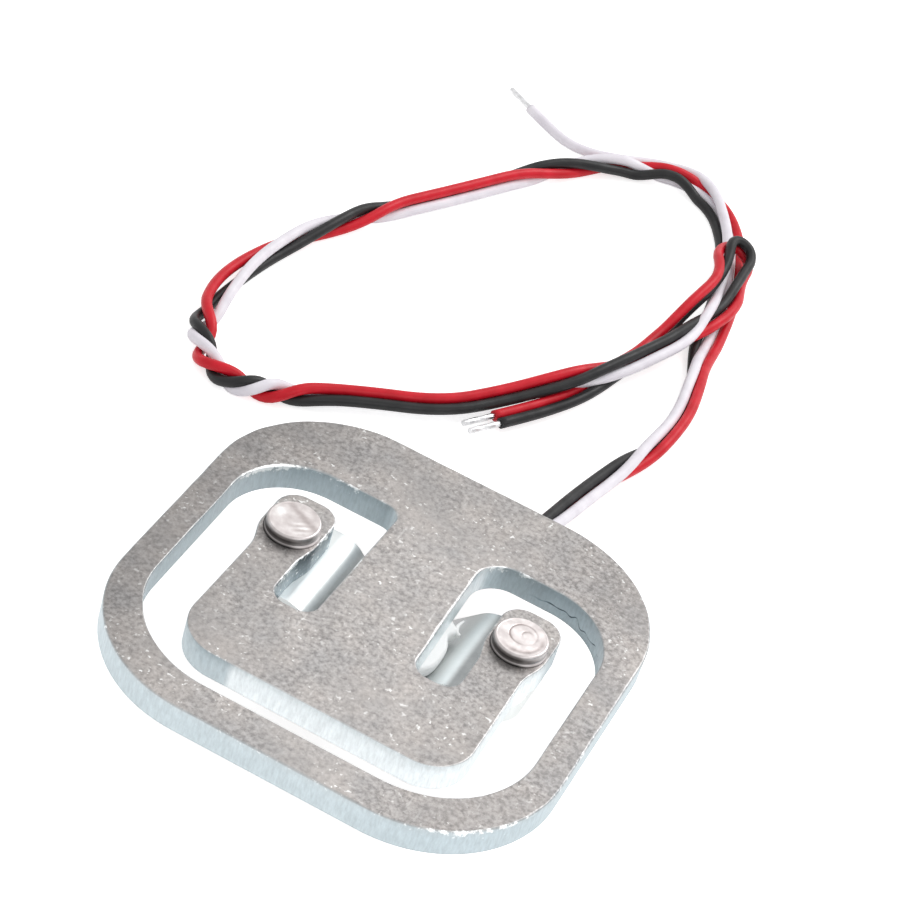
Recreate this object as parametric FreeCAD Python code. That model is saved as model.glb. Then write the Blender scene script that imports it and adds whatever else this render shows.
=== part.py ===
"""Half bridge load cell: a stamped plate with a bending tongue, a riveted load strap under it,
a strain gauge in silicone and three leads. Millimetres, +Z up, the strap's foot on z = 0,
the origin below the middle of the plate, the leads leaving along +Y."""

import FreeCAD
import Part
import math
import os

Vector = FreeCAD.Vector

# Plate: the frame
plate_side = 34.0
plate_corner = 10.0
plate_thickness = 2.2
frame_side_band = 2.35
frame_near_band = 2.9
root_block = 6.85
window_root_corner = 5.6
window_near_corner = 8.0

# Plate: the tongue inside the frame
beam_width = 7.8
beam_length = 13.9
beam_flare = 0.45
slot_root_corner = 1.2
slot_end_share = 0.43
rivet_pitch = 18.16
pad_width = 4.55
pad_corner = 1.7
pad_reach = 3.75
pad_hold = 0.8
shoulder_length = 2.0
shoulder_radius = 4.0
waist_inner = 0.45
waist_outer = 0.65
crossbar_flare = 0.2
crossbar_gap = 2.85
crossbar_corner = 3.3

# Load strap
strap_thickness = 1.5
strap_height = 4.7
strap_overhang = 2.02
strap_width = 8.8
strap_corner = 2.4
strap_slope = 45.0
strap_foot = 6.1
bend_inside = 1.1

# Rivets
rivet_shank = 2.6
rivet_fit = 0.02
rivet_head = 4.0
rivet_head_height = 0.9
rivet_head_edge = 0.25
rivet_tail = 3.6
rivet_tail_height = 0.7
rivet_tail_edge = 0.4

# Strain gauge
film_width = 5.6
film_length = 11.4
film_thickness = 0.1
foil_thickness = 0.05
grid_lines = 6
grid_line_width = 0.17
grid_length = 3.2
grid_offset = 1.4
tab_pitch = 1.7
tab_width = 1.1
tab_length = 1.3
bead_width = 1.0
bead_tip = 0.5
bead_height = 0.35

# Silicone over the gauge
silicone_width = 7.2
silicone_depth = 2.0
silicone_near_end = 6.1
silicone_far_end = 9.4
silicone_corner = 1.4
silicone_edge = 0.7
bulge_out = 0.9
bulge_near_end = 4.7
bulge_far_end = 0.4
bulge_ramp = 0.9

# Leads: three wires side by side, two below and one on top
wire_diameter = 0.9
wire_sides = 7
wire_gap = 0.05
pair_spacing = 1.4
floor_gap = 0.02
bend_share = 0.45
tip_diameter = 0.5
tip_length = 4.0

# Heights and lines that several pieces share
plate_bottom = strap_height
plate_top = plate_bottom + plate_thickness
window_root = plate_side / 2 - root_block
beam_middle = window_root - beam_length / 2
rivet_x = rivet_pitch / 2
film_bottom = plate_bottom - film_thickness
foil_bottom = film_bottom - foil_thickness
wire_radius = wire_diameter / 2
wire_spacing = wire_diameter + wire_gap
wire_rest = floor_gap + wire_radius

# Routes of the leads: x, y and the height of the lowest wire's underside above the floor
shared_route = [
    (3.6, 15.6, 2.85),
    (5.4, 24.6, 1.0),
    (8.4, 39.0, 0.0),
    (9.5, 54.0, 0.0),
    (6.6, 67.0, 0.0),
    (-1.4, 76.2, 0.0),
    (-11.0, 74.4, 0.0),
    (-18.4, 60.2, 0.0),
    (-25.2, 45.6, 0.0),
    (-29.8, 30.6, 0.0),
    (-26.6, 22.0, 0.0),
    (-19.0, 21.8, 0.0),
    (-8.6, 30.6, 0.0),
    (-1.2, 43.8, 0.0),
]
white_start = [(-1.7, 3.9, 3.5), (-1.5, 7.6, 3.5), (-0.3, 11.7, 3.5)]
red_start = [(0.0, 3.9, 3.5), (0.35, 7.7, 3.5), (1.5, 11.6, 3.5)]
black_start = [(1.7, 3.9, 3.5), (1.95, 7.8, 3.5), (2.95, 11.4, 3.5)]
white_tail = [
    (-1.6, 56.6, 0.0),
    (-5.0, 66.4, 2.2),
    (-9.8, 70.2, 4.8),
    (-15.6, 71.2, 4.8),
    (-20.4, 73.4, 0.0),
    (-23.8, 75.6, 0.0),
]
pair_tail = [
    (1.1, 51.3, 0.0),
    (1.7, 57.6, 0.0),
    (4.6, 58.7, 0.0),
    (7.0, 56.6, 0.0),
    (5.9, 50.4, 0.0),
    (1.9, 40.4, 0.0),
    (-4.4, 31.9, 0.0),
]


def turn(before, corner, after, radius):
    """The tangent arc that rounds a corner: its first, middle and last point."""
    back = (before - corner).normalize()
    ahead = (after - corner).normalize()
    half = back.getAngle(ahead) / 2
    bisector = (back + ahead).normalize()
    reach = radius / math.tan(half)
    first = corner + back * reach
    middle = corner + bisector * (radius / math.sin(half) - radius)
    last = corner + ahead * reach
    return first, middle, last


def rounded_outline(corners):
    """A closed wire through corners (point, radius), with each corner rounded by its radius."""
    bends = []
    for index, (corner, radius) in enumerate(corners):
        before = corners[index - 1][0]
        after = corners[(index + 1) % len(corners)][0]
        if radius > 0:
            bends.append(turn(before, corner, after, radius))
        else:
            bends.append((corner, None, corner))
    edges = []
    for index, (first, middle, last) in enumerate(bends):
        if middle is not None:
            edges.append(Part.Arc(first, middle, last).toShape())
        following = bends[(index + 1) % len(bends)][0]
        if last.distanceToPoint(following) > 1e-6:
            edges.append(Part.LineSegment(last, following).toShape())
    return Part.Wire(edges)


def slab(outline, height, low):
    """A flat piece: the wire's face raised to low and extruded upwards by height."""
    face = Part.Face(outline)
    face.translate(Vector(0, 0, low))
    return face.extrude(Vector(0, 0, height))


def rounded_block(low, high, radius):
    """A box between two corner points, with its four upright edges rounded."""
    corners = [
        (Vector(low.x, low.y, 0), radius),
        (Vector(high.x, low.y, 0), radius),
        (Vector(high.x, high.y, 0), radius),
        (Vector(low.x, high.y, 0), radius),
    ]
    return slab(rounded_outline(corners), high.z - low.z, low.z)


def mirrored(half):
    """Corners of the right half, followed by their mirror images in reverse order."""
    other = [(Vector(-point.x, point.y, point.z), radius) for point, radius in reversed(half)]
    return half + other


def save(shape, node):
    """Write one node's solids to its own file."""
    shape.exportStep("parts/" + node + ".step")


def window_outline():
    """The cut that frees the tongue, right half from the near limb to the beam's root."""
    side = plate_side / 2 - frame_side_band
    near = -plate_side / 2 + frame_near_band
    pad_inner = rivet_x - pad_width / 2
    pad_outer = rivet_x + pad_width / 2
    pad_tip = beam_middle + pad_reach
    shoulder_top = beam_middle - pad_hold
    shoulder_end = shoulder_top - shoulder_length
    slot_inner = pad_inner + waist_inner
    slot_outer = beam_width / 2 + beam_flare
    slot_corner = slot_end_share * (slot_inner - slot_outer)
    neck = pad_outer - waist_outer
    slot_end = window_root - beam_length
    crossbar_end = near + crossbar_gap
    frame_half = [
        (Vector(side, near, 0), window_near_corner),
        (Vector(side, window_root, 0), window_root_corner),
        (Vector(beam_width / 2, window_root, 0), slot_root_corner),
        (Vector(slot_outer, slot_end, 0), slot_corner),
        (Vector(slot_inner, slot_end, 0), slot_corner),
        (Vector(slot_inner, shoulder_end, 0), shoulder_radius),
        (Vector(pad_inner, shoulder_top, 0), shoulder_radius),
        (Vector(pad_inner, pad_tip, 0), pad_corner),
        (Vector(pad_outer, pad_tip, 0), pad_corner),
        (Vector(pad_outer, shoulder_top, 0), shoulder_radius),
        (Vector(neck, shoulder_end, 0), shoulder_radius),
        (Vector(neck + crossbar_flare, crossbar_end, 0), crossbar_corner),
    ]
    return rounded_outline(mirrored(frame_half))


def rivet_holes():
    """The two holes through arm and strap that the rivets fill."""
    radius = rivet_shank / 2 + rivet_fit
    holes = []
    for x in (-rivet_x, rivet_x):
        foot = Vector(x, beam_middle, 0)
        holes.append(Part.makeCylinder(radius, plate_top, foot))
    return Part.makeCompound(holes)


def sensing_plate():
    """The stamping: a rounded square less the window and the rivet holes."""
    half = plate_side / 2
    low = Vector(-half, -half, plate_bottom)
    high = Vector(half, half, plate_top)
    blank = rounded_block(low, high, plate_corner)
    return blank.cut(slab(window_outline(), plate_thickness, plate_bottom)).cut(rivet_holes())


def load_strap():
    """The bent strip: its side profile drawn once, carried across and trimmed to its plan."""
    angle = math.radians(strap_slope)
    shift = strap_thickness * math.tan(angle / 2)
    foot_top = strap_thickness
    flange_bottom = strap_height - strap_thickness
    foot_low = strap_foot / 2
    foot_high = foot_low - shift
    flange_high = foot_high + flange_bottom / math.tan(angle)
    flange_low = flange_high + shift
    end = rivet_x + strap_overhang
    bend_outside = bend_inside + strap_thickness
    y = beam_middle - strap_width / 2
    upper = [
        (Vector(foot_high, y, foot_top), bend_inside),
        (Vector(flange_high, y, strap_height), bend_outside),
        (Vector(end, y, strap_height), 0),
    ]
    lower = [
        (Vector(end, y, flange_bottom), 0),
        (Vector(flange_low, y, flange_bottom), bend_inside),
        (Vector(foot_low, y, 0), bend_outside),
    ]
    profile = Part.Face(rounded_outline(mirrored(upper + lower)))
    strip = profile.extrude(Vector(0, strap_width, 0))
    plan_low = Vector(-end, y, 0)
    plan_high = Vector(end, y + strap_width, strap_height)
    return strip.common(rounded_block(plan_low, plan_high, strap_corner)).cut(rivet_holes())


def rivet(x):
    """One turned rivet: flat head on the arm, shank, formed head under the strap."""
    tail_top = strap_height - strap_thickness
    tail_bottom = tail_top - rivet_tail_height
    head_top = plate_top + rivet_head_height
    half_section = [
        (Vector(0, 0, tail_bottom), 0),
        (Vector(rivet_tail / 2 - rivet_tail_edge, 0, tail_bottom), 0),
        (Vector(rivet_tail / 2, 0, tail_bottom + rivet_tail_edge), 0),
        (Vector(rivet_tail / 2, 0, tail_top), 0),
        (Vector(rivet_shank / 2, 0, tail_top), 0),
        (Vector(rivet_shank / 2, 0, plate_top), 0),
        (Vector(rivet_head / 2, 0, plate_top), 0),
        (Vector(rivet_head / 2, 0, head_top - rivet_head_edge), 0),
        (Vector(rivet_head / 2 - rivet_head_edge, 0, head_top), 0),
        (Vector(0, 0, head_top), 0),
    ]
    solid = Part.Face(rounded_outline(half_section)).revolve(Vector(), Vector(0, 0, 1), 360)
    solid.translate(Vector(x, beam_middle, 0))
    return solid


def gauge_backing():
    """The film bonded to the beam's underside."""
    corner = Vector(-film_width / 2, beam_middle - film_length / 2, film_bottom)
    return Part.makeBox(film_width, film_length, film_thickness, corner)


def foil_strip(x_low, x_high, y_low, y_high):
    """One straight piece of the foil."""
    corner = Vector(x_low, y_low, foil_bottom)
    return Part.makeBox(x_high - x_low, y_high - y_low, foil_thickness, corner)


def gauge_foil():
    """Two folded grids and three tabs: the far grid joins the first two tabs, the near grid
    the last two, so the middle tab is the bridge's tap."""
    strips = []
    line_pitch = tab_pitch / (grid_lines - 1)
    half_line = grid_line_width / 2
    for tab in (-1, 0, 1):
        x = tab * tab_pitch
        y = beam_middle - tab_length / 2
        strips.append(foil_strip(x - tab_width / 2, x + tab_width / 2, y, y + tab_length))
    for side, first_x in ((1, -tab_pitch), (-1, 0.0)):
        near_end = beam_middle + side * grid_offset
        far_end = near_end + side * grid_length
        for line in range(grid_lines):
            x = first_x + line * line_pitch
            outer = line in (0, grid_lines - 1)
            start = beam_middle if outer else near_end
            low, high = sorted((start, far_end))
            strips.append(foil_strip(x - half_line, x + half_line, low, high))
        for loop in range(grid_lines - 1):
            x = first_x + loop * line_pitch
            y = far_end if loop % 2 == 0 else near_end
            right = x + line_pitch + half_line
            strips.append(foil_strip(x - half_line, right, y - half_line, y + half_line))
    return strips[0].fuse(strips[1:]).removeSplitter()


def solder_bead(x):
    """A bead of solder hanging from one tab, narrower at its tip."""
    foot = Vector(x, beam_middle, foil_bottom - bead_height)
    return Part.makeCone(bead_tip / 2, bead_width / 2, bead_height, foot)


def wire_route(start, tail, side, lift, tail_side):
    """The centre line of one wire: its own start, the shared route moved aside by side and up
    by lift, and its tail moved aside by tail_side. Moves are square to the line in plan."""
    route = [(point, 0.0, 0.0) for point in start]
    route += [(point, side, lift) for point in shared_route]
    route += [(point, tail_side, 0.0) for point in tail]
    flat = [Vector(point[0], point[1], 0) for point, aside, up in route]
    line = []
    for index, (point, aside, up) in enumerate(route):
        before = flat[max(index - 1, 0)]
        after = flat[min(index + 1, len(flat) - 1)]
        arriving = flat[index] - before if index > 0 else after - flat[index]
        leaving = after - flat[index] if index < len(flat) - 1 else arriving
        mean = (arriving.normalize() + leaving.normalize()).normalize()
        stretch = aside / math.cos(arriving.getAngle(leaving) / 2)
        across = Vector(mean.y, -mean.x, 0) * stretch
        line.append(flat[index] + across + Vector(0, 0, point[2] + wire_rest + up))
    return line


def wire_path(name, line):
    """Straight runs joined by tangent arcs, each arc as large as its two runs allow."""
    edges = []
    radii = []
    reached = line[0]
    for before, corner, after in zip(line, line[1:], line[2:]):
        run = min((corner - before).Length, (after - corner).Length)
        swing = (corner - before).getAngle(after - corner)
        radius = bend_share * run / math.tan(swing / 2)
        radii.append(radius)
        first, middle, last = turn(before, corner, after, radius)
        edges.append(Part.LineSegment(reached, first).toShape())
        edges.append(Part.Arc(first, middle, last).toShape())
        reached = last
    edges.append(Part.LineSegment(reached, line[-1]).toShape())
    path = Part.Wire(edges)
    print(name, "length", round(path.Length, 1), "radii", [round(radius, 1) for radius in radii])
    return path


def wire_section(centre, heading, radius):
    """A many-sided round, square to the heading."""
    tilt = FreeCAD.Placement(centre, FreeCAD.Rotation(Vector(0, 0, 1), heading))
    corners = []
    for side in range(wire_sides + 1):
        angle = 2 * math.pi * side / wire_sides
        corners.append(tilt.multVec(Vector(math.cos(angle), math.sin(angle), 0) * radius))
    return Part.makePolygon(corners)


def wire_tube(name, line):
    """The insulated wire: its section carried along its path."""
    path = wire_path(name, line)
    section = wire_section(line[0], line[1] - line[0], wire_radius)
    tube = path.makePipeShell([section], True, False)
    expected = Part.Face(section).Area * path.Length
    print(name, "volume over section times length", round(tube.Volume / expected, 4))
    return tube


def tinned_tip(line):
    """The bare end of one wire, in line with its last run."""
    heading = (line[-1] - line[-2]).normalize()
    section = wire_section(line[-1], heading, tip_diameter / 2)
    return Part.Face(section).extrude(heading * tip_length)


def silicone_cover(inside):
    """White silicone under the beam and the root block, bulging out at the beam's right edge,
    shaped by the strap and by everything that it holds."""
    half = silicone_width / 2
    near = beam_middle - silicone_near_end
    far = beam_middle + silicone_far_end
    bulge = half + bulge_out
    bulge_near = beam_middle - bulge_near_end
    bulge_far = beam_middle + bulge_far_end
    corners = [
        (Vector(-half, near, 0), silicone_corner),
        (Vector(half, near, 0), 0),
        (Vector(bulge, bulge_near, 0), silicone_corner),
        (Vector(bulge, bulge_far, 0), silicone_corner),
        (Vector(half, bulge_far + bulge_ramp, 0), 0),
        (Vector(half, far, 0), silicone_corner),
        (Vector(-half, far, 0), silicone_corner),
    ]
    low = plate_bottom - silicone_depth
    block = slab(rounded_outline(corners), silicone_depth, low)
    rim = [edge for edge in block.Edges if edge.BoundBox.ZMax < low + silicone_edge]
    return block.makeChamfer(silicone_edge, rim).cut(inside)


os.makedirs("parts", exist_ok=True)

plate = sensing_plate()
strap = load_strap()
rivets = Part.makeCompound([rivet(-rivet_x), rivet(rivet_x)])
backing = gauge_backing()
foil = gauge_foil()
beads = Part.makeCompound([solder_bead(tab * tab_pitch) for tab in (-1, 0, 1)])

half_spacing = wire_spacing / 2
top_lift = wire_spacing * math.sqrt(3) / 2
white_line = wire_route(white_start, white_tail, -half_spacing, 0.0, 0.0)
red_line = wire_route(red_start, pair_tail, 0.0, top_lift, -pair_spacing / 2)
black_line = wire_route(black_start, pair_tail, half_spacing, 0.0, pair_spacing / 2)
white_wire = wire_tube("white_wire", white_line)
red_wire = wire_tube("red_wire", red_line)
black_wire = wire_tube("black_wire", black_line)
tips = Part.makeCompound([tinned_tip(line) for line in (white_line, red_line, black_line)])

silicone = silicone_cover([strap, backing, foil, beads, white_wire, red_wire, black_wire])

save(plate, "sensing_plate")
save(strap, "load_strap")
save(rivets, "rivets")
save(backing, "gauge_backing")
save(foil, "gauge_foil")
save(beads, "solder_joints")
save(silicone, "silicone_cover")
save(white_wire, "white_wire")
save(red_wire, "red_wire")
save(black_wire, "black_wire")
save(tips, "tinned_tips")
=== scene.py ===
"""Half bridge load cell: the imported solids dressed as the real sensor, in metres, in the row frame."""

import bmesh
import bpy
import numpy as np
from mathutils import Matrix, Vector


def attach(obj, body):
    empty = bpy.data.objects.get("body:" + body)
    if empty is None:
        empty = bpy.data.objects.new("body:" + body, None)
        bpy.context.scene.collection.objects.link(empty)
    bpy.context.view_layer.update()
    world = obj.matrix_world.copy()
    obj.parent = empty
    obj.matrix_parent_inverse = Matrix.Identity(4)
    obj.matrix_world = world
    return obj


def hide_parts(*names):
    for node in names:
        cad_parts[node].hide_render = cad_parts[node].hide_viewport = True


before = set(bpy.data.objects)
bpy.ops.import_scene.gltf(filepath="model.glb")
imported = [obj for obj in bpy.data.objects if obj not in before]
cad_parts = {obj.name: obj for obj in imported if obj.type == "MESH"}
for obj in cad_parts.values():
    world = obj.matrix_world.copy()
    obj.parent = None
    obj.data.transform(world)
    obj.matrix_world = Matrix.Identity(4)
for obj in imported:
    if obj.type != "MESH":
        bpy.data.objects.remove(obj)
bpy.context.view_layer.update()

# The sensing plate: one piece of 2.2 mm steel, blanked and pierced in a press and then zinc plated.
# The punch leaves a rolled edge on top, a smooth sheared land below it, and a torn zone under that.
# Its sizes and those of the other pieces are written in millimetres.

MM = 0.001
plate_top = 6.9
plate_bottom = 4.7
plate_corners = np.array([[17, -17], [17, 17], [-17, 17], [-17, -17]], float)
plate_radii = np.full(4, 10.0)
window_right = np.array([
    [14.65, -14.1], [14.65, 10.15], [3.55, 10.15], [3.95, -3.75], [7.255, -3.75], [7.255, 0.4],
    [6.805, 2.4], [6.805, 6.95], [11.355, 6.95], [11.355, 2.4], [10.705, 0.4], [10.905, -11.25],
])
window_right_radii = np.array([8.0, 5.6, 1.2, 1.25, 1.25, 4.0, 4.0, 1.7, 1.7, 4.0, 4.0, 3.3])
window_corners = np.concatenate([window_right, window_right[::-1] * [-1, 1]])
window_radii = np.concatenate([window_right_radii, window_right_radii[::-1]])

# The right slot's corner at the root of the beam is rounder than the left one's.
right_root = 2
window_radii[right_root] = 2.4

rivet_x = 9.08
rivet_y = 3.2
hole_radius = 1.32
hole_points = 48


def unit(vectors):
    """Each vector divided by its length, along the last axis."""
    return vectors / np.linalg.norm(vectors, axis=-1, keepdims=True)


def travelled(line):
    """How far along a line each of its points is: the sum of the steps that lead to it."""
    return np.concatenate([[0], np.cumsum(np.linalg.norm(np.diff(line, axis=0), axis=1))])


def bell(value, middle, reach):
    """A bell curve: e to the power of minus the square of (value less middle) over reach."""
    return np.exp(-((value - middle) / reach) ** 2)


def rounded_loop(corners, radii, spacing):
    """Closed outline of a polygon whose corners are tangent arcs, as points at an even spacing.
    Each arc turns from its first tangent point to its last about the centre on the bisector."""
    back = unit(np.roll(corners, 1, axis=0) - corners)
    ahead = unit(np.roll(corners, -1, axis=0) - corners)
    half = np.arccos(np.sum(back * ahead, axis=1)) / 2
    reach = (radii / np.tan(half))[:, None]
    centre = corners + unit(back + ahead) * (radii / np.sin(half))[:, None]
    first = (corners + back * reach - centre)[:, None, :]
    last = (corners + ahead * reach - centre)[:, None, :]
    swing = (np.pi - 2 * half)[:, None, None]
    arc_points = 48
    share = np.linspace(0, 1, arc_points)[None, :, None]
    arc = (np.sin((1 - share) * swing) * first + np.sin(share * swing) * last) / np.sin(swing)
    rough = (centre[:, None, :] + arc).reshape(-1, 2)
    closed = np.concatenate([rough, rough[:1]])
    along = travelled(closed)
    steps = np.linspace(0, along[-1], int(along[-1] / spacing), endpoint=False)
    return np.stack([np.interp(steps, along, closed[:, axis]) for axis in (0, 1)], axis=1)


def circle_loop(x, y, radius, count):
    """Points round a circle, counter-clockwise."""
    angle = 2 * np.pi * np.arange(count) / count
    return np.stack([x + radius * np.cos(angle), y + radius * np.sin(angle)], axis=1)


def wander(count, waves, fall, seed):
    """A smooth closed line of chance of unit spread: sines of 1 to waves periods with random sizes
    and starts, each divided by its number of periods to the power fall."""
    chance = np.random.default_rng(seed)
    order = np.arange(1, waves + 1)[:, None]
    size = chance.normal(size=(waves, 1)) / order ** fall
    start = chance.uniform(0, 2 * np.pi, (waves, 1))
    turn = 2 * np.pi * np.arange(count)[None, :] / count
    line = np.sum(size * np.sin(order * turn + start), axis=0)
    return line / np.std(line)


def grid_faces(rows, columns, closed_rows=False, closed_columns=False):
    """Quads of a grid of vertices numbered row by row, joined round where it closes."""
    r = np.arange(rows if closed_rows else rows - 1)[:, None]
    c = np.arange(columns if closed_columns else columns - 1)[None, :]
    a = r * columns + c
    b = r * columns + (c + 1) % columns
    d = ((r + 1) % rows) * columns + c
    e = ((r + 1) % rows) * columns + (c + 1) % columns
    return np.stack([a, b, e, d], axis=-1).reshape(-1, 4)


# Columns of an edge strip: the last of the roll, the land's middle, the two sides of the tear,
# the sharp foot and the one a little way under it.
roll_end, land_middle, tear_top, tear_low, sharp_foot, under_foot = 6, 7, 9, 10, 14, 15


def edge_strip(loop, outward, roll, land, torn, seed):
    """The cut edge of the stamping carried round its outline: rows run along the loop, columns from
    the flat top over the roll, down the land, in at the torn zone, out to the sharp foot and a little
    way under it. The depths of the land and of the torn zone wander along the loop, so the line between
    is ragged. Outward is 1 for the plate's outline and -1 for an opening."""
    count = len(loop)
    thickness = plate_top - plate_bottom
    ahead = unit(np.roll(loop, -1, axis=0) - np.roll(loop, 1, axis=0))
    side = np.stack([ahead[:, 1], -ahead[:, 0]], axis=1) * outward
    lean = np.linspace(0, np.pi / 2, roll_end + 1)[None, :]
    uneven = (roll * (1 + 0.16 * wander(count, waves=60, fall=0.3, seed=seed)))[:, None]
    roll_in = uneven * (1 - np.sin(lean))
    roll_down = 0.8 * uneven * (1 - np.cos(lean))
    torn = np.broadcast_to(torn, count)[:, None]
    ragged = 0.13 * wander(count, waves=110, fall=0.5, seed=seed + 1)
    tear = np.clip(land + ragged, 0.6, thickness - 0.3)[:, None]
    pit = torn * np.clip(1 + 0.5 * wander(count, waves=300, fall=0.2, seed=seed + 2), 0.1, 2)[:, None]
    pit_low = torn * np.clip(0.7 + 0.6 * wander(count, waves=300, fall=0.2, seed=seed + 3), 0, 2)[:, None]
    flat = np.zeros((count, 1))
    inset = np.concatenate([
        roll_in, flat, flat, flat, pit, pit, pit_low, 0.5 * torn, flat, flat + 0.05,
    ], axis=1)
    depth = np.concatenate([
        roll_down, (roll_down[:, -1:] + tear) / 2, tear - 0.06, tear, tear + 0.09, tear + 0.15,
        (tear + 0.15 + thickness) / 2, flat + thickness - 0.06, flat + thickness, flat + thickness,
    ], axis=1)
    plan = loop[:, None, :] - side[:, None, :] * inset[..., None]
    return np.concatenate([plan, (plate_top - depth)[..., None]], axis=2)


def flat_fill(loops, height):
    """Triangles that fill a level sheet between an outer loop and the loops inside it, facing up.
    They give the numbers of the loops' points, counted in order."""
    sizes = np.array([len(loop) for loop in loops])
    begins = np.cumsum(sizes) - sizes
    points = np.concatenate(loops)
    edges = np.concatenate([
        begin + np.stack([np.arange(size), (np.arange(size) + 1) % size], axis=1)
        for begin, size in zip(begins, sizes)
    ])
    sheet = bpy.data.meshes.new("sheet")
    sheet.from_pydata(np.column_stack([points, np.full(len(points), height)]).tolist(), edges.tolist(), [])
    net = bmesh.new()
    net.from_mesh(sheet)
    bmesh.ops.triangle_fill(net, use_beauty=True, use_dissolve=False, edges=net.edges[:])
    bmesh.ops.recalc_face_normals(net, faces=net.faces[:])
    net.to_mesh(sheet)
    net.free()
    triangles = np.empty(len(sheet.loops), np.int32)
    sheet.loops.foreach_get("vertex_index", triangles)
    bpy.data.meshes.remove(sheet)
    triangles = triangles.reshape(-1, 3)
    a, b, c = points[triangles[:, 0]], points[triangles[:, 1]], points[triangles[:, 2]]
    facing = np.sum((b - a)[:, 0] * (c - a)[:, 1] - (b - a)[:, 1] * (c - a)[:, 0])
    return triangles if facing > 0 else triangles[:, ::-1]


def new_piece(name, points, faces, smooth, material):
    """A mesh object from points in millimetres, riding on the sensor's one body."""
    mesh = bpy.data.meshes.new(name)
    mesh.from_pydata((points * MM).tolist(), [], faces)
    mesh.polygons.foreach_set("use_smooth", smooth)
    mesh.materials.append(material)
    mesh.update()
    piece = bpy.data.objects.new(name, mesh)
    bpy.context.scene.collection.objects.link(piece)
    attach(piece, "root")
    return piece


def point_values(piece, name, values):
    """Writes one number for each point of a piece, for its material to read."""
    piece.data.attributes.new(name, "FLOAT", "POINT").data.foreach_set("value", values)


def new_material(name):
    """A material with its tree of nodes and its surface shader."""
    material = bpy.data.materials.new(name)
    material.use_nodes = True
    return material, material.node_tree, material.node_tree.nodes["Principled BSDF"]


def feed(tree, value, socket):
    """Links an output to an input, or sets the input to a plain number or colour."""
    if hasattr(value, "is_linked"):
        tree.links.new(value, socket)
    else:
        socket.default_value = (*value, 1) if socket.type == "RGBA" else value


def surface(tree, shader, values):
    """Feeds the shader's inputs by their names."""
    for name, value in values.items():
        feed(tree, value, shader.inputs[name])


def own_place(tree):
    """Where a point lies in the part's own frame, in metres."""
    return tree.nodes.new("ShaderNodeTexCoord").outputs["Object"]


def coordinates(tree, where):
    """The separate coordinates of a place."""
    node = tree.nodes.new("ShaderNodeSeparateXYZ")
    tree.links.new(where, node.inputs["Vector"])
    return node.outputs


def point_value(tree, name):
    """What the piece's points say under a name."""
    node = tree.nodes.new("ShaderNodeAttribute")
    node.attribute_name = name
    return node.outputs["Fac"]


def stretched(tree, where, scale, turn):
    """Places scaled along each axis and turned, which draws a texture out into streaks."""
    node = tree.nodes.new("ShaderNodeMapping")
    node.inputs["Rotation"].default_value = turn
    node.inputs["Scale"].default_value = scale
    tree.links.new(where, node.inputs["Vector"])
    return node.outputs["Vector"]


def noise(tree, where, scale, detail, roughness):
    """Noise with so many waves to the metre, so many finer layers, each so much weaker."""
    node = tree.nodes.new("ShaderNodeTexNoise")
    for name, value in (("Scale", scale), ("Detail", detail), ("Roughness", roughness)):
        node.inputs[name].default_value = value
    tree.links.new(where, node.inputs["Vector"])
    return node.outputs["Fac"]


def ramp(tree, value, stops):
    """A colour ramp over a value, with the given (place, grey or colour) stops."""
    node = tree.nodes.new("ShaderNodeValToRGB")
    band = node.color_ramp.elements
    while len(band) < len(stops):
        band.new(0.5)
    for element, (place, colour) in zip(band, stops):
        element.position = place
        element.color = (*colour, 1) if isinstance(colour, tuple) else (colour, colour, colour, 1)
    tree.links.new(value, node.inputs["Fac"])
    return node.outputs["Color"]


def rescaled(tree, value, taken, given):
    """A value carried from the range taken to the range given, and held at its ends."""
    node = tree.nodes.new("ShaderNodeMapRange")
    for name, limit in zip(("From Min", "From Max", "To Min", "To Max"), (*taken, *given)):
        node.inputs[name].default_value = limit
    tree.links.new(value, node.inputs["Value"])
    return node.outputs["Result"]


def reckoned(tree, operation, *values):
    """An operation on numbers, each an output to link or a plain number."""
    node = tree.nodes.new("ShaderNodeMath")
    node.operation = operation
    for value, socket in zip(values, node.inputs):
        feed(tree, value, socket)
    return node.outputs[0]


def mixed(tree, blend, factor, first, second):
    """A mix of two colours, each an output to link or a plain colour."""
    node = tree.nodes.new("ShaderNodeMix")
    node.data_type = "RGBA"
    node.blend_type = blend
    factor_input, first_colour, second_colour, mixed_colour = 0, 6, 7, 2
    for place, value in ((factor_input, factor), (first_colour, first), (second_colour, second)):
        feed(tree, value, node.inputs[place])
    return node.outputs[mixed_colour]


def dented(tree, height, strength, distance):
    """A surface direction tilted as if the height stood out by the distance in metres."""
    node = tree.nodes.new("ShaderNodeBump")
    node.inputs["Strength"].default_value = strength
    node.inputs["Distance"].default_value = distance
    tree.links.new(height, node.inputs["Height"])
    return node.outputs["Normal"]


# Zinc skin, shared by the plate and the strap: crystals a few tenths of a millimetre across from dark
# to light grey, slow warm clouds, small dark pits, bright flecks and scratches where it was rubbed.
zinc_grey = (0.44, 0.425, 0.415)
zinc_skin = bpy.data.node_groups.new("zinc skin", "ShaderNodeTree")
zinc_skin.interface.new_socket("Vector", in_out="INPUT", socket_type="NodeSocketVector")
zinc_skin.interface.new_socket("Colour", in_out="OUTPUT", socket_type="NodeSocketColor")
zinc_skin.interface.new_socket("Roughness", in_out="OUTPUT", socket_type="NodeSocketFloat")
zinc_skin.interface.new_socket("Height", in_out="OUTPUT", socket_type="NodeSocketFloat")
skin_in = zinc_skin.nodes.new("NodeGroupInput").outputs["Vector"]
skin_out = zinc_skin.nodes.new("NodeGroupOutput")
grain = noise(zinc_skin, skin_in, 3000, 5, 0.65)
grain_tone = ramp(zinc_skin, grain, [
    (0.36, (0.295, 0.286, 0.28)), (0.5, zinc_grey), (0.66, (0.592, 0.577, 0.567)),
])
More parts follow.
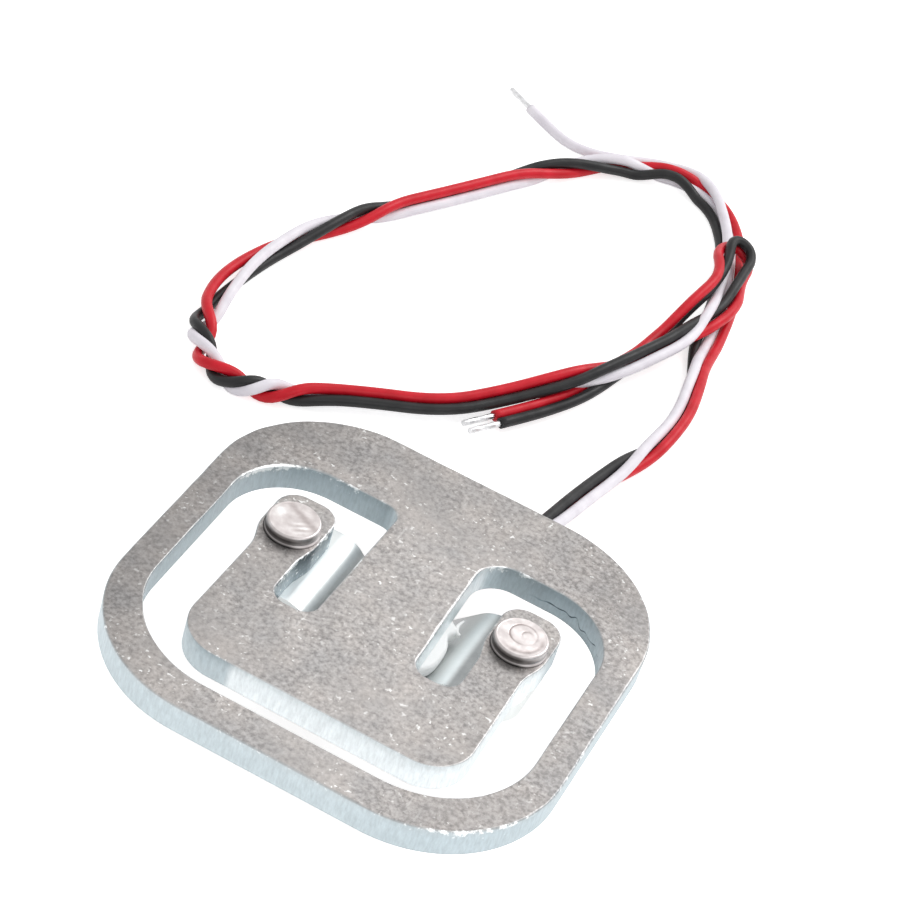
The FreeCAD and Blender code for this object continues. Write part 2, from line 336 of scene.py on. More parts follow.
smooth_mask = ramp(zinc_skin, noise(zinc_skin, skin_in, 150, 2, 0.5), [(0.38, 0.0), (0.66, 0.55)])
crystals = mixed(zinc_skin, "MIX", smooth_mask, grain_tone, zinc_grey)
cloud = noise(zinc_skin, skin_in, 330, 3, 0.55)
cloud_tone = ramp(zinc_skin, cloud, [(0.3, (0.88, 0.88, 0.89)), (0.7, (1.08, 1.045, 1.025))])
clouded = mixed(zinc_skin, "MULTIPLY", 1.0, crystals, cloud_tone)
pit_mask = ramp(zinc_skin, noise(zinc_skin, skin_in, 1900, 2, 0.5), [(0.60, 0.0), (0.74, 0.55)])
pitted = mixed(zinc_skin, "MIX", pit_mask, clouded, (0.22, 0.21, 0.21))
fleck_mask = ramp(zinc_skin, noise(zinc_skin, skin_in, 2700, 2, 0.5), [(0.64, 0.0), (0.71, 0.95)])
patches = ramp(zinc_skin, cloud, [(0.42, 0.1), (0.62, 1.0)])
fleck_patches = mixed(zinc_skin, "MULTIPLY", 1.0, fleck_mask, patches)
flecked = mixed(zinc_skin, "MIX", fleck_patches, pitted, (0.93, 0.93, 0.92))
scratches = noise(zinc_skin, stretched(zinc_skin, skin_in, (1, 0.12, 1), (0, 0, 0.7)), 3600, 1, 0.5)
scratch_mask = ramp(zinc_skin, scratches, [(0.71, 0.0), (0.79, 0.25)])
scratched = mixed(zinc_skin, "MIX", scratch_mask, flecked, (0.80, 0.79, 0.78))
rub = ramp(zinc_skin, grain, [(0.3, 0.52), (0.7, 0.36)])
surface(zinc_skin, skin_out, {"Colour": scratched, "Roughness": rub, "Height": grain})


def zinc(tree, where):
    """What the zinc skin says at a place: its colour, roughness and height."""
    node = tree.nodes.new("ShaderNodeGroup")
    node.node_tree = zinc_skin
    tree.links.new(where, node.inputs["Vector"])
    return node.outputs


plate_zinc, tree, shader = new_material("plate zinc")
where = own_place(tree)
skin = zinc(tree, where)
drawn = noise(tree, stretched(tree, where, (1, 1, 0.25), (0, 0, 0)), 5200, 3, 0.6)
# The cut walls' colour is painted reflection and shade: a value on each point picks it from near black to
# pale blue.
sheared = ramp(tree, point_value(tree, "tone"), [
    (0.0, (0.05, 0.06, 0.07)), (0.2, (0.25, 0.33, 0.375)),
    (0.6, (0.56, 0.634, 0.666)), (1.0, (0.90, 0.95, 0.97)),
])
cut_colour = mixed(tree, "MULTIPLY", 1.0, sheared, ramp(tree, drawn, [(0.3, 0.88), (0.7, 1.08)]))
# Painted shade on the plate's face: darker towards its left and right sides and towards its far edge.
place = coordinates(tree, where)
sideways = rescaled(tree, place["X"], (-0.017, 0.017), (0.0, 1.0))
painted_shade_far = rescaled(tree, place["Y"], (0.008, 0.013), (1.0, 0.88))
painted_shade_sideways = ramp(tree, sideways, [(0.03, 0.70), (0.27, 0.97), (0.41, 1.0), (0.64, 1.0), (0.84, 0.83)])
painted_shade = mixed(tree, "MULTIPLY", 1.0, painted_shade_sideways, painted_shade_far)
face_colour = mixed(tree, "MULTIPLY", 1.0, skin["Colour"], painted_shade)
cut_or_flat = mixed(tree, "MIX", point_value(tree, "cut"), face_colour, cut_colour)
# Painted highlights: where the edge value and noise together pass a threshold, the colour turns near white.
glint = reckoned(tree, "MULTIPLY_ADD", point_value(tree, "rim"), 0.42, noise(tree, where, 2600, 3, 0.6))
glint_mask = ramp(tree, glint, [(0.72, 0.0), (0.86, 1.0)])
surface(tree, shader, {
    "Base Color": mixed(tree, "MIX", glint_mask, cut_or_flat, (0.94, 0.96, 0.96)),
    "Roughness": skin["Roughness"], "Metallic": 1.0, "Normal": dented(tree, skin["Height"], 0.35, 0.00004),
})

# Painted highlights on the rolled edge: place, reach and strength of each spot.
glint_spots = np.array([
    [-13.2, 8.0, 3.4, 1.0], [-7.5, 10.1, 2.6, 0.55], [-7.1, 4.6, 2.4, 0.9], [-7.3, -0.4, 2.6, 1.0],
    [-3.8, 3.0, 3.0, 0.6], [3.7, 6.0, 2.4, 0.5], [3.9, 0.5, 2.6, 0.5], [4.3, 9.9, 1.3, 1.0],
    [6.6, 10.1, 0.7, 0.9], [10.8, -3.0, 3.4, 0.75], [11.3, 4.6, 2.0, 0.7], [13.6, -13.6, 4.5, 0.85],
    [-2.0, -17.0, 6.0, 0.35], [17.0, -4.0, 6.0, 0.55], [-14.0, -14.0, 4.0, 0.35],
])


def edge_glints(loop):
    """How strong the painted highlight on the edge is at each point: the strongest spot there, each fading as
    a bell curve.
    """
    apart = np.linalg.norm(loop[:, None, :] - glint_spots[None, :, :2], axis=2)
    return np.max(glint_spots[:, 3] * bell(apart, 0, glint_spots[:, 2]), axis=1)


outer_loop = rounded_loop(plate_corners, plate_radii, spacing=0.14)
window_loop = rounded_loop(window_corners, window_radii, spacing=0.12)
left_hole = circle_loop(-rivet_x, rivet_y, hole_radius, hole_points)
right_hole = circle_loop(rivet_x, rivet_y, hole_radius, hole_points)
window_x, window_y = window_loop.T
arm_side = 11.9

# How far each point of the window belongs to the frame's edge, to its cracked stretch on the right, to
# the much rolled far left corner, to the beam's edges, and to the walls whose painted reflection and shade
# differ from the rest.
frame_side = (np.abs(window_x) > arm_side) | (window_y > 8.5)
cracked = frame_side * np.clip((window_x - 7) / 2, 0, 1) * np.clip((window_y - 1) / 2, 0, 1)
far_corner = bell(np.linalg.norm(window_loop - [-13.0, 8.2], axis=1), 0, 3.5)
beam_edge = np.clip(1 - 2.5 * np.abs(np.abs(window_x) - 3.75), 0, 1) * (window_y > -4)
left_frame = np.clip(-13.2 - window_x, 0, 1)
right_arm = np.clip(2 * window_x - 19, 0, 1) * (window_x < arm_side) * np.clip(2 - window_y / 2, 0, 1)
near_corner = np.clip(-11.6 - 2 * window_x, 0, 1) * (window_x > -arm_side) * np.clip(-6 - window_y, 0, 1)
left_slot = (np.abs(window_x + 7) < 0.9) * (window_y > -6) * np.clip(3.5 - window_y / 2, 0, 1)

window_roll = 0.11 + 0.16 * far_corner + 0.1 * beam_edge
crack_line = wander(len(window_loop), waves=230, fall=0.2, seed=41)
window_land = 1.5 + cracked * (0.1 * crack_line - 0.2)
window_torn = 0.004 + 0.06 * cracked
# The walls' painted reflection and shade: darker towards the far walls, bright on the tongue's front wall,
# brighter on the beam's edges and the right arm, a little darker on the cracked stretch, painted shade on the
# left frame's wall, the left slot's wall and the near corner, and darker to the right on the outer wall.
window_wall_light = np.interp(window_y, [-12, -9, 0, 7, 10], [1.0, 1.0, 0.62, 0.51, 0.48])
window_wall_light += 0.4 * beam_edge - 0.03 * cracked
for tone, part in ((0.52, left_frame), (1.0, right_arm), (0.1, left_slot), (0.6, near_corner)):
    window_wall_light += (tone - window_wall_light) * part
outer_wall_light = 0.62 - 0.08 * np.clip((outer_loop[:, 0] - 5) / 6, 0, 1)
hole_wall_light = 0.4

strips = [
    edge_strip(outer_loop, 1, roll=0.17, land=1.2, torn=0.01, seed=3),
    edge_strip(window_loop, -1, window_roll, window_land, window_torn, seed=11),
    edge_strip(left_hole, -1, roll=0.05, land=1.2, torn=0.0, seed=21),
    edge_strip(right_hole, -1, roll=0.05, land=1.2, torn=0.0, seed=31),
]

# For each strip: its wall's painted reflection and shade, how cracked and how specked with painted glints it
# is, and whether it faces inwards.
strip_looks = [
    (outer_wall_light, 0, 0, False), (window_wall_light, cracked, 0.25 * left_slot, True),
    (hole_wall_light, 0, 0, True), (hole_wall_light, 0, 0, True),
]
plate_points, plate_walls, top_rims, foot_rims = [], [], [], []
plate_cut, plate_wall_light, plate_rim = [], [], []
made = 0
for strip, (tone, crack, specks, inwards) in zip(strips, strip_looks):
    rows, columns = strip.shape[:2]
    column = np.arange(columns)[None, :]
    tone, crack, specks = [np.broadcast_to(share, rows)[:, None] for share in (tone, crack, specks)]
    quads = grid_faces(rows, columns, closed_rows=True)
    plate_points.append(strip.reshape(-1, 3))
    plate_walls.append(made + (quads[:, ::-1] if inwards else quads))
    cut_share = np.interp(column[0], [0, 3, land_middle, sharp_foot, under_foot], [0, 0.35, 1, 1, 0])
    # On the cracked stretch the two columns along the tear are painted black: painted shade in the crack.
    tear_shade = ((column == tear_top) | (column == tear_low)) * crack
    roll_share = np.interp(column, [0, 2, roll_end, land_middle], [0, 1, 1, 0])
    edge_glint = roll_share * edge_glints(strip[:, 0, :2])[:, None]
    # Painted glints speckle the left slot's wall below its roll.
    specked = ((column > roll_end) & (column < sharp_foot)) * specks
    plate_cut.append(np.tile(cut_share, rows))
    plate_wall_light.append((tone * (1 - tear_shade)).ravel())
    plate_rim.append((edge_glint + specked).ravel())
    top_rims.append(made + np.arange(rows) * columns)
    foot_rims.append(made + np.arange(rows) * columns + under_foot)
    made += rows * columns
top = np.concatenate(top_rims)[flat_fill([strip[:, 0, :2] for strip in strips], plate_top)]
foot = np.concatenate(foot_rims)[flat_fill([strip[:, -1, :2] for strip in strips], plate_bottom)][:, ::-1]
walls = np.concatenate(plate_walls)
plate = new_piece(
    "sensing_plate_stamping", np.concatenate(plate_points), walls.tolist() + top.tolist() + foot.tolist(),
    [True] * len(walls) + [False] * (len(top) + len(foot)), plate_zinc,
)
for name, values in (("cut", plate_cut), ("rim", plate_rim), ("tone", plate_wall_light)):
    point_values(plate, name, np.concatenate(values))
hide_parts("sensing_plate")

# The load strap: a strip of 1.5 mm zinc plated steel, bent down in the middle to a flat foot and
# clamped under the two arms by the rivets.

strap_zinc, tree, shader = new_material("strap zinc")
where = own_place(tree)
skin = zinc(tree, where)
pressed = noise(tree, where, 260, 3, 0.55)
pressed_tone = ramp(tree, pressed, [(0.3, (0.60, 0.64, 0.65)), (0.7, (0.78, 0.82, 0.83))])
sideways = rescaled(tree, coordinates(tree, where)["X"], (-0.0115, 0.0115), (0.0, 1.0))
# Painted highlights in bands across the strap, bright where its flanges and slopes face the light, and a band
# of painted shade by the right arm.
painted_highlight_band = ramp(tree, sideways, [
    (0.0, 0.9), (0.05, 0.0), (0.12, 0.0), (0.15, 0.75), (0.24, 0.75), (0.27, 0.15), (0.30, 0.35),
    (0.34, 0.6), (0.42, 0.6), (0.46, 0.0), (0.66, 0.0), (0.70, 0.35), (0.722, 0.65), (0.752, 0.7),
    (0.772, 0.0), (0.90, 0.2), (0.95, 0.95),
])
painted_shade_band = ramp(tree, sideways, [(0.757, 1.0), (0.775, 0.62), (0.82, 0.62), (0.86, 1.0)])
strip_skin = mixed(tree, "MIX", 0.75, skin["Colour"], pressed_tone)
strip_colour = mixed(tree, "MULTIPLY", 1.0, strip_skin, painted_shade_band)
surface(tree, shader, {
    "Base Color": mixed(tree, "MIX", painted_highlight_band, strip_colour, (0.95, 0.98, 0.97)),
    "Roughness": ramp(tree, pressed, [(0.3, 0.42), (0.7, 0.30)]),
    "Metallic": 0.75, "Normal": dented(tree, skin["Height"], 0.2, 0.00003),
})


def dress(node, material):
    """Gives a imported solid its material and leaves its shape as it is."""
    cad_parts[node].data.materials.clear()
    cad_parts[node].data.materials.append(material)


dress("load_strap", strap_zinc)

# The rivets: turned steel, each with a flat head on top of its arm and a tail spread under the strap.
# The setting tool left rings and smears on the heads; the left head also has a painted highlight, and the
# heads' sides carry painted shade.

rivet_steel, tree, shader = new_material("rivet steel")
smears = noise(tree, own_place(tree), 1300, 3, 0.6)
marked = reckoned(tree, "MULTIPLY_ADD", smears, 0.5, point_value(tree, "mark"))
top_tone = ramp(tree, marked, [
    (0.30, (0.98, 0.97, 0.96)), (0.48, (0.76, 0.71, 0.70)),
    (0.62, (0.64, 0.585, 0.575)), (1.0, (0.30, 0.25, 0.24)),
])
# Where the side value is high the colour turns near black: painted shade.
surface(tree, shader, {
    "Base Color": mixed(tree, "MIX", point_value(tree, "side_shade"), top_tone, (0.045, 0.043, 0.043)),
    "Roughness": ramp(tree, smears, [(0.3, 0.42), (0.7, 0.28)]), "Metallic": 1.0,
})

# The profile in radius and height, from the tail's middle out and up to the head's rim and in again.
edge = np.linspace(0, np.pi / 2, 8)
rivet_side = np.concatenate([
    [[0.01, 2.5], [0.7, 2.5]],
    np.stack([1.35 + 0.45 * np.sin(edge), 2.95 - 0.45 * np.cos(edge)], axis=1),
    [[1.8, 3.2], [1.3, 3.2], [1.3, 6.9], [2.07, 6.9], [2.1, 6.95]],
    [[2.08, 7.02], [1.99, 7.06], [1.96, 7.12], [1.98, 7.4]],
    np.stack([1.82 + 0.16 * np.cos(edge), 7.64 + 0.16 * np.sin(edge)], axis=1),
])
rivet_height = 7.8
face_radii = np.linspace(1.78, 0.01, 44)
rivet_face = np.stack([face_radii, np.full_like(face_radii, rivet_height)], axis=1)
rivet_profile = np.concatenate([rivet_side, rivet_face])


def turned(profile, count):
    """A profile of (radius, height) turned round an upright axis: rows along the profile, columns round."""
    angle = 2 * np.pi * np.arange(count)[None, :] / count
    radius = profile[:, 0][:, None]
    height = np.broadcast_to(profile[:, 1][:, None], (len(profile), count))
    return np.stack([radius * np.cos(angle), radius * np.sin(angle), height], axis=2)


def round_faces(rows, columns):
    """Faces of a form whose rows close round: its side, its first row as an end face, and its last."""
    ends = [list(range(columns))[::-1], list(range((rows - 1) * columns, rows * columns))]
    return grid_faces(rows, columns, closed_columns=True).tolist() + ends


form = turned(rivet_profile, count=120)
form_x, form_y, form_z = np.moveaxis(form, 2, 0)
around = np.arctan2(form_y, form_x)
on_top = (np.arange(len(rivet_profile)) >= len(rivet_side))[:, None]


def away(x, y):
    """How far each point of a rivet lies from a place on its head, seen from above."""
    return np.hypot(form_x - x, form_y - y)


ring = bell(away(0, 0.3), 1.0, 0.07) * (0.6 + 0.4 * np.cos(around - 2.9))
curl_turn = np.arctan2(form_y - 0.35, form_x - 0.3)
curl = bell(away(0.3, 0.35), 0.42, 0.10) * 0.6 * np.clip(0.25 + np.cos(curl_turn - 2.4), 0, 1)
crescent = bell(away(-0.1, 0.1), 1.6, 0.16) * np.clip(np.cos(around + 0.9), 0, 1) * 0.7
# On the left head: a dark smear across it with fine strokes, and a painted highlight near its left edge.
band = bell(0.45 * form_x + 0.9 * form_y, 0.75, 0.3) * 0.45 - bell(away(-1.2, 0.15), 0, 0.45) * 0.5
strokes = np.sin(13 * (0.55 * form_x - 0.83 * form_y)) * bell(away(0.8, -0.5), 0, 0.6) * 0.35
tool_marks = {"left": (band + strokes) * on_top, "right": (ring + curl + crescent - 0.02) * on_top}

# Painted shade on the side of the head that is turned away from the light, and on the collar at its foot.
collar_top = 7.05
shaded = np.clip(0.45 + 0.9 * np.cos(around - 4.15), 0, 1)
painted_side_shade = bell(form_z, 7.32, 0.3) ** 0.5 * (form_z > collar_top) * ~on_top * shaded
painted_side_shade += (np.abs(form_z - 6.96) < 0.09) * np.clip(0.45 + 1.2 * np.cos(around - 4.0), 0, 1)

face_drop = 0.012
mark_depth = 0.02
for name, x in (("left", -rivet_x), ("right", rivet_x)):
    points = form + [x, rivet_y, 0]
    points[..., 2] -= (mark_depth * np.clip(tool_marks[name], -0.3, 1) + face_drop) * on_top
    faces = round_faces(*points.shape[:2])
    rivet = new_piece(
        name + "_rivet", points.reshape(-1, 3), faces, [True] * len(faces), rivet_steel,
    )
    point_values(rivet, "mark", (tool_marks[name] * 0.5 + 0.27).ravel())
    point_values(rivet, "side_shade", painted_side_shade.ravel())
    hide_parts("rivets")

# The strain gauge: an amber film bonded under the beam, its etched foil, and three beads of solder.
# The silicone hides all of it.


def cloudy(name, scale, detail, dark, light, values):
    """A material in faint clouds from a dark tone to a light one, with the shader's other values."""
    material, tree, shader = new_material(name)
    cloud = noise(tree, own_place(tree), scale, detail, 0.5)
    surface(tree, shader, {"Base Color": ramp(tree, cloud, [(0.3, dark), (0.7, light)]), **values})
    return material


dress("gauge_backing", cloudy(
    "film amber", 400, 2, (0.45, 0.24, 0.05), (0.66, 0.38, 0.10), {"Roughness": 0.3},
))
dress("gauge_foil", cloudy(
    "foil metal", 1500, 2, (0.55, 0.44, 0.36), (0.72, 0.60, 0.50), {"Metallic": 1.0, "Roughness": 0.35},
))
dress("solder_joints", cloudy(
    "solder grey", 2000, 2, (0.55, 0.55, 0.56), (0.80, 0.80, 0.81), {"Metallic": 1.0, "Roughness": 0.25},
))

# The silicone: a soft white blob pressed over the gauge under the beam, squeezed out in a lip at the
# beam's right edge where it shows in the slot, and drawn round the leads where they leave.

silicone_white = cloudy(
    "silicone white", 500, 3, (0.92, 0.92, 0.91), (0.98, 0.98, 0.97),
    {"Roughness": 0.45, "Subsurface Weight": 0.1, "Subsurface Radius": (0.001, 0.001, 0.001)},
)
silicone_corners = np.array([[3.4, -2.9], [3.4, 12.6], [-3.4, 12.6], [-3.4, -2.9]])
skirt = rounded_loop(silicone_corners, np.full(4, 1.4), spacing=0.15)
skirt += 0.06 * unit(skirt - [0, 5]) * wander(len(skirt), waves=14, fall=0.4, seed=5)[:, None]
right_side = skirt[:, 0] > 2
lip = 1.25 * np.exp(-((skirt[:, 1] - 1.1) / 2.2) ** 4)
neck = bell(skirt[:, 1], 4.15, 0.75)
skirt[:, 0] += right_side * (lip + neck)

# Rings from the seam under the beam out to the skirt, over its shoulder and down the dome to the lower
# seam. Both sides meet in the same points along the seams.
spine = np.stack([np.full(len(skirt), 0.2), np.clip(skirt[:, 1], 0.0, 9.6)], axis=1)
seam_step = 0.4
shoulder = np.linspace(0, np.pi / 2, 7)
rise = np.linspace(0, np.pi / 2, 20)[1:]
reach = np.concatenate([[0, 0.5, 0.85], 0.93 + 0.07 * np.sin(shoulder), np.cos(rise) ** 0.45])
reach[-1] = 0
sunk = np.concatenate([
    np.full(3, 0.01), 0.01 + 0.3 * (1 - np.cos(shoulder)), 0.31 + 1.58 * np.sin(rise) ** 0.7,
])
dome = spine[:, None, :] + (skirt - spine)[:, None, :] * reach[None, :, None]
dome[:, [0, -1], 1] = np.round(spine[:, 1] / seam_step)[:, None] * seam_step
dome_height = np.broadcast_to(plate_bottom - sunk[None, :, None], dome.shape[:2] + (1,))
blob = np.concatenate([dome, dome_height], axis=2).reshape(-1, 3)
blob_faces = grid_faces(*dome.shape[:2], closed_rows=True)


def tube(line, radius, count):
    """A round section carried along a line: rows along it, columns round it, square to the line."""
    ahead = unit(np.gradient(line, axis=0))
    side = unit(np.cross(ahead, [0, 0, 1]))
    up = np.cross(side, ahead)
    angle = 2 * np.pi * np.arange(count)[None, :, None] / count
    ring = np.cos(angle) * side[:, None, :] + np.sin(angle) * up[:, None, :]
    return line[:, None, :] + ring * np.broadcast_to(radius, len(line))[:, None, None]


def tube_faces(rows, columns):
    """Faces of a tube and its two ends, outwards, which is the other way round than on a turned form."""
    return [face[::-1] for face in round_faces(rows, columns)]


# A thread of it drawn out where the nozzle was lifted: a parabola from its start to its end, drawn
# towards a bend between them, and thickest half way.
thread_start = [4.29, 5.59, 4.35]
thread_bend = [3.95, 4.17, 4.45]
thread_end = [4.7, 4.07, 4.35]
pulled = np.linspace(0, 1, 24)[:, None]
thread_line = (
    (1 - pulled) ** 2 * thread_start + 2 * pulled * (1 - pulled) * thread_bend + pulled ** 2 * thread_end
)
thread = tube(thread_line, np.interp(pulled[:, 0], [0, 0.5, 1], [0.08, 0.18, 0.13]), count=12)
thread_faces = [[len(blob) + corner for corner in face] for face in tube_faces(*thread.shape[:2])]
silicone_faces = blob_faces.tolist() + thread_faces
silicone = new_piece(
    "silicone_blob", np.concatenate([blob, thread.reshape(-1, 3)]), silicone_faces,
    [True] * len(silicone_faces), silicone_white,
)
net = bmesh.new()
net.from_mesh(silicone.data)
bmesh.ops.remove_doubles(net, verts=net.verts[:], dist=1e-7)
net.to_mesh(silicone.data)
net.free()
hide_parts("silicone_cover")

# The leads: three limp stranded wires in soft plastic, soldered to the gauge, led out under the plate's
# far edge and loosely twisted by hand, flat side by side in the far bend. White runs on alone at the end;
# red and black fold back together and end under the loop.

wire_radius = 0.45
wire_sides = 14
shared_route = [
    (3.6, 15.6, 2.85), (4.8, 21.0, 2.0), (5.6, 29.0, 0.5), (6.9, 35.2, 0), (7.8, 39.4, 0), (7.8, 43.4, 0),
    (7.0, 47.4, 0), (6.05, 51.4, 0), (5.55, 55.8, 0), (4.85, 60.4, 0), (3.7, 64.8, 0), (2.2, 69.2, 0),
    (-0.6, 73.3, 0), (-4.4, 74.8, 0), (-8.8, 73.2, 0), (-12.9, 69.8, 0), (-16.6, 63.6, 0), (-19.7, 57.3, 0),
    (-22.8, 51.6, 0), (-25.7, 46.0, 0), (-28.0, 40.0, 0), (-29.0, 34.0, 0), (-28.7, 28.2, 0),
    (-26.7, 22.8, 0), (-22.4, 20.9, 0), (-18.4, 23.2, 0), (-13.9, 26.5, 0), (-8.2, 29.9, 0),
    (-4.8, 34.6, 0.1), (-1.9, 38.4, 0.85), (0.3, 41.7, 1.05), (1.9, 44.8, 0.97), (2.95, 47.4, 0.97),
    (3.85, 50.0, 0.97), (4.5, 52.8, 1.0),
]
white_start = [(-1.7, 3.9, 3.5), (-1.5, 7.6, 3.5), (-0.3, 11.7, 3.5)]
red_start = [(0.0, 3.9, 3.5), (0.35, 7.7, 3.5), (1.5, 11.6, 3.5)]
black_start = [(1.7, 3.9, 3.5), (1.95, 7.8, 3.5), (2.95, 11.4, 3.5)]
white_tail = [
    (4.75, 55.0, 2.15), (4.6, 57.4, 1.9), (4.2, 60.0, 1.1), (3.75, 62.6, 0.98), (2.9, 65.3, 1.0),
    (1.75, 68.7, 1.0), (0.3, 71.3, 1.0), (-1.4, 73.8, 1.1), (-3.7, 75.9, 0.75), (-6.3, 76.4, 0.05),
    (-8.6, 75.3, 0), (-10.9, 73.7, 0), (-13.2, 72.6, 0), (-15.6, 72.4, 0), (-18.0, 73.5, 0), (-20.6, 75.0, 0),
]
pair_tail = [
    (5.2, 55.2, 1.0), (5.7, 57.4, 1.0), (5.7, 59.6, 1.0), (5.4, 61.6, 1.0), (5.15, 63.4, 1.0),
    (5.1, 65.1, 1.0), (4.5, 66.3, 1.25), (3.25, 66.4, 1.75), (2.55, 65.3, 2.0), (2.85, 63.4, 2.05),
    (3.5, 61.0, 2.05), (3.7, 58.6, 2.0), (3.2, 56.0, 1.6), (2.7, 53.7, 0.8), (2.45, 51.6, 0.05),
    (2.3, 49.8, 0), (1.9, 47.6, 0), (1.15, 45.2, 0), (0.65, 42.8, 0), (0.25, 41.0, 0), (-0.3, 39.2, 0),
    (-1.1, 37.3, 0), (-2.6, 34.4, 0), (-4.2, 31.8, 0),
]

# How far the three have turned about each other, in degrees, at each distance along the shared route.
# The turn is averaged over the window about a place, which rounds its kinks.
twist_at = [
    -20, 0, 8, 18, 20.5, 26.5, 33, 40, 72.5, 78, 83.5, 90, 97, 102, 109.5, 116, 122, 125,
    127, 129.8, 132, 133.8, 136, 138.5, 159, 164, 168, 172, 178, 180, 184.5, 189.6, 195.2, 203, 208, 228,
]
twist = [
    10, 15, 20, 20, 45, 150, 150, 90, 90, -30, -140, -150, -150, -30, 90, 130, 180, 330,
    440, 570, 690, 800, 930, 970, 970, 1050, 1090, 1090, 1130, 1130, 1050, 1055, 1230, 1230, 1140, 1140,
]
twist_window = np.linspace(-1.6, 1.6, 9)
samples = 12


def route_line(name, points):
    """The route's points as the control points of one smooth spline, read back as points along it."""
    curve = bpy.data.curves.new(name, "CURVE")
    curve.dimensions = "3D"
    spline = curve.splines.new("NURBS")
    spline.points.add(len(points) - 1)
    weighted = np.column_stack([np.array(points, float) * MM, np.ones(len(points))])
    spline.points.foreach_set("co", weighted.ravel())
    spline.order_u = 3
    spline.use_endpoint_u = True
    spline.resolution_u = samples
    holder = bpy.data.objects.new(name, curve)
    mesh = bpy.data.meshes.new_from_object(holder)
    line = np.empty(len(mesh.vertices) * 3)
    mesh.vertices.foreach_get("co", line)
    bpy.data.objects.remove(holder)
    bpy.data.meshes.remove(mesh)
    bpy.data.curves.remove(curve)
    return line.reshape(-1, 3) / MM


def step(value, low, high):
    """Smooth rise from 0 to 1 between low and high: the share squared times three less twice the share."""
    share = np.clip((value - low) / (high - low), 0, 1)
    return share * share * (3 - 2 * share)


def insulation(name, dark, light, roughness):
    """Soft plastic with faint cloudy colour and a slightly uneven skin."""
    material, tree, shader = new_material(name)
    cloud = noise(tree, own_place(tree), 700, 3, 0.5)
    surface(tree, shader, {
        "Base Color": ramp(tree, cloud, [(0.3, dark), (0.7, light)]),
        "Roughness": ramp(tree, cloud, [(0.3, roughness + 0.08), (0.7, roughness - 0.05)]),
        "Specular IOR Level": 0.3, "Normal": dented(tree, cloud, 0.25, 0.00005),
    })
    return material


def tube_piece(name, points, material):
    """A piece from the rows of points of a tube, smooth along its side and flat at its ends."""
    faces = tube_faces(*points.shape[:2])
    return new_piece(
        name, points.reshape(-1, 3), faces, [True] * (len(faces) - 2) + [False, False], material,
    )


white_plastic = insulation("white insulation", (0.78, 0.74, 0.80), (0.88, 0.85, 0.90), 0.42)
red_plastic = insulation("red insulation", (0.54, 0.004, 0.014), (0.68, 0.010, 0.026), 0.40)
black_plastic = insulation("black insulation", (0.010, 0.010, 0.011), (0.022, 0.022, 0.023), 0.42)
tinned_strands = cloudy(
    "tinned strands", 2500, 2, (0.60, 0.60, 0.61), (0.82, 0.82, 0.83), {"Metallic": 1.0, "Roughness": 0.3},
)
tip_rows = np.linspace(0, 1, 40)[:, None]
tip_sides = 28
tip_length = 3.0
table_gap = 0.02
tip_angle = 2 * np.pi * np.arange(tip_sides)[None, :] / tip_sides
tip_lobes = 0.21 + 0.04 * np.abs(np.cos(3.5 * tip_angle + 6 * tip_rows))
lay_height = 0.55
leads = (
    ("white", white_start, white_tail, 0, white_plastic),
    ("red", red_start, pair_tail, 240, red_plastic),
    ("black", black_start, pair_tail, 120, black_plastic),
)
for colour, start, tail, phase, material in leads:
    route = route_line(colour + "_route", start + shared_route + tail)
    shared_from = samples * (len(start) - 1)
    shared_to = samples * (len(start) + len(shared_route) - 2)
    along = travelled(route)
    along -= along[shared_from]
    fork = along[shared_to]
    ahead = unit(np.gradient(route, axis=0))
    side = unit(np.cross(ahead, [0, 0, 1]))
    up = np.cross(side, ahead)
    turn = np.deg2rad(np.interp(along[:, None] + twist_window, twist_at, twist).mean(axis=1) + phase)
    # By distance along the shared route: the shares in which a lead is laid into the twist, parted from
    # it past the fork, flat beside the others in the far bend and closed up with them where that ends,
    # then how far aside it lies and how far it is lifted.
    laid = step(along, -4, 12)
    parted = step(along, fork, fork + 7)
    flat = step(along, 36, 42) - step(along, 68.5, 73)
    closed = step(along, 63.5, 67.3) - step(along, 67.8, 71.3)
    wide = (0.56 + 0.3 * bell(along, 119, 7)) * (1 + 0.9 * flat - 0.93 * closed)
    if colour == "white":
        laid *= 1 - parted
        lift = -1.08 * flat
    else:
        laid *= 1 - 0.16 * parted
        turn += (np.pi / 3 if colour == "red" else 0) * parted
        lift = 0.8 * closed - 0.255 * flat
    aside = laid * wide * np.cos(turn)
    above = laid * lay_height * np.sin(turn) + lift
    line = route + aside[:, None] * side + above[:, None] * up
    line[:, 2] += wire_radius + table_gap + laid * lay_height
    wire = tube_piece(colour + "_lead", tube(line, wire_radius, wire_sides), material)
    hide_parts(colour + "_wire")
    tip_line = line[-1] + unit(line[-1] - line[-2]) * tip_length * tip_rows
    tip_ring = tube(tip_line, 1.0, tip_sides) - tip_line[:, None, :]
    tip_points = tip_line[:, None, :] + tip_ring * tip_lobes[..., None]
    tip = tube_piece(colour + "_tip", tip_points, tinned_strands)
    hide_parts("tinned_tips")

# The table: a white sheet under an even white sky and two wide lamps.
# The camera and the metal see sheet and sky as bright as the photo's white ground.

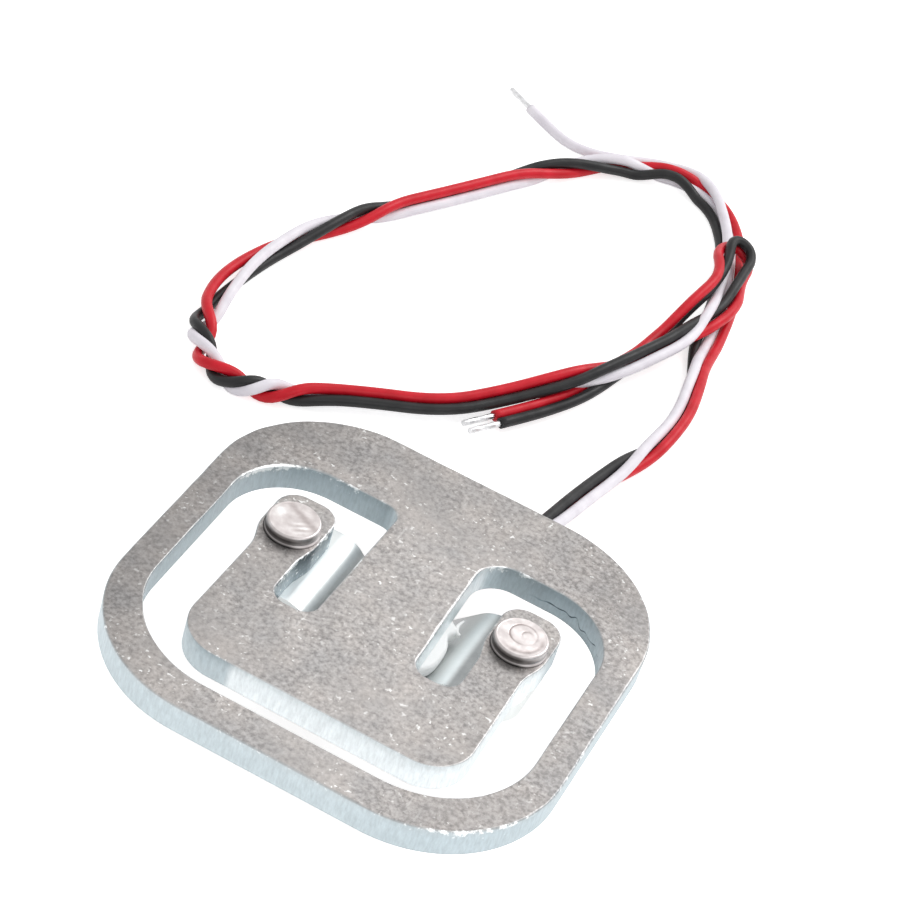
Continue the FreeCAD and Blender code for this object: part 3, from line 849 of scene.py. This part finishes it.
white_table, tree, shader = new_material("white table")
ray = tree.nodes.new("ShaderNodeLightPath").outputs
seen = reckoned(tree, "MULTIPLY", ray["Is Camera Ray"], 0.66)
surface(tree, shader, {
    "Base Color": (0.88, 0.88, 0.88), "Roughness": 0.9, "Specular IOR Level": 0.0,
    "Emission Color": (1, 1, 1),
    "Emission Strength": reckoned(tree, "MULTIPLY_ADD", ray["Is Glossy Ray"], 0.45, seen),
})
floor_mesh = bpy.data.meshes.new("floor")
floor_mesh.from_pydata([(-3, -3, 0), (3, -3, 0), (3, 3, 0), (-3, 3, 0)], [], [(0, 1, 2, 3)])
floor_mesh.materials.append(white_table)
floor = bpy.data.objects.new("floor", floor_mesh)
bpy.context.scene.collection.objects.link(floor)

world = bpy.data.worlds.new("studio")
bpy.context.scene.world = world
world.use_nodes = True
tree = world.node_tree
soft = tree.nodes["Background"]
plain = tree.nodes.new("ShaderNodeBackground")
for sky, strength in ((soft, 0.75), (plain, 1.0)):
    surface(tree, sky, {"Color": (1, 1, 1), "Strength": strength})
ray = tree.nodes.new("ShaderNodeLightPath").outputs
seen = reckoned(tree, "MAXIMUM", ray["Is Camera Ray"], ray["Is Transmission Ray"])
choose = tree.nodes.new("ShaderNodeMixShader")
tree.links.new(reckoned(tree, "MAXIMUM", seen, ray["Is Glossy Ray"]), choose.inputs["Fac"])
tree.links.new(soft.outputs[0], choose.inputs[1])
tree.links.new(plain.outputs[0], choose.inputs[2])
tree.links.new(choose.outputs[0], tree.nodes["World Output"].inputs["Surface"])

lamp_aim = Vector((0, 0.01, 0))
lamps = (("key", (0.16, 0.34, 0.36), 0.30, 0.9), ("fill", (0.35, -0.25, 0.35), 0.35, 0.35))
for name, stand, size, power in lamps:
    lamp = bpy.data.lights.new(name, "AREA")
    lamp.shape = "DISK"
    lamp.size = size
    lamp.energy = power
    holder = bpy.data.objects.new(name, lamp)
    bpy.context.scene.collection.objects.link(holder)
    holder.location = stand
    holder.rotation_euler = (lamp_aim - Vector(stand)).to_track_quat("-Z", "Y").to_euler()

# The camera: where the photograph was taken from, fitted to the plate's outline.
# The columns of its matrix are its right, its up, its back and its place.

lens = bpy.data.cameras.new("camera")
lens.sensor_width = 36.0
lens.lens = 115.06
lens.clip_start = 0.01
camera = bpy.data.objects.new("camera", lens)
bpy.context.scene.collection.objects.link(camera)
camera.matrix_world = Matrix((
    (0.87626, -0.44319, 0.18910, 0.0366),
    (0.41931, 0.50799, -0.75241, -0.1420),
    (0.23740, 0.73859, 0.63097, 0.1417),
    (0, 0, 0, 1),
))
bpy.context.scene.camera = camera
bpy.context.scene.view_settings.view_transform = "Standard"
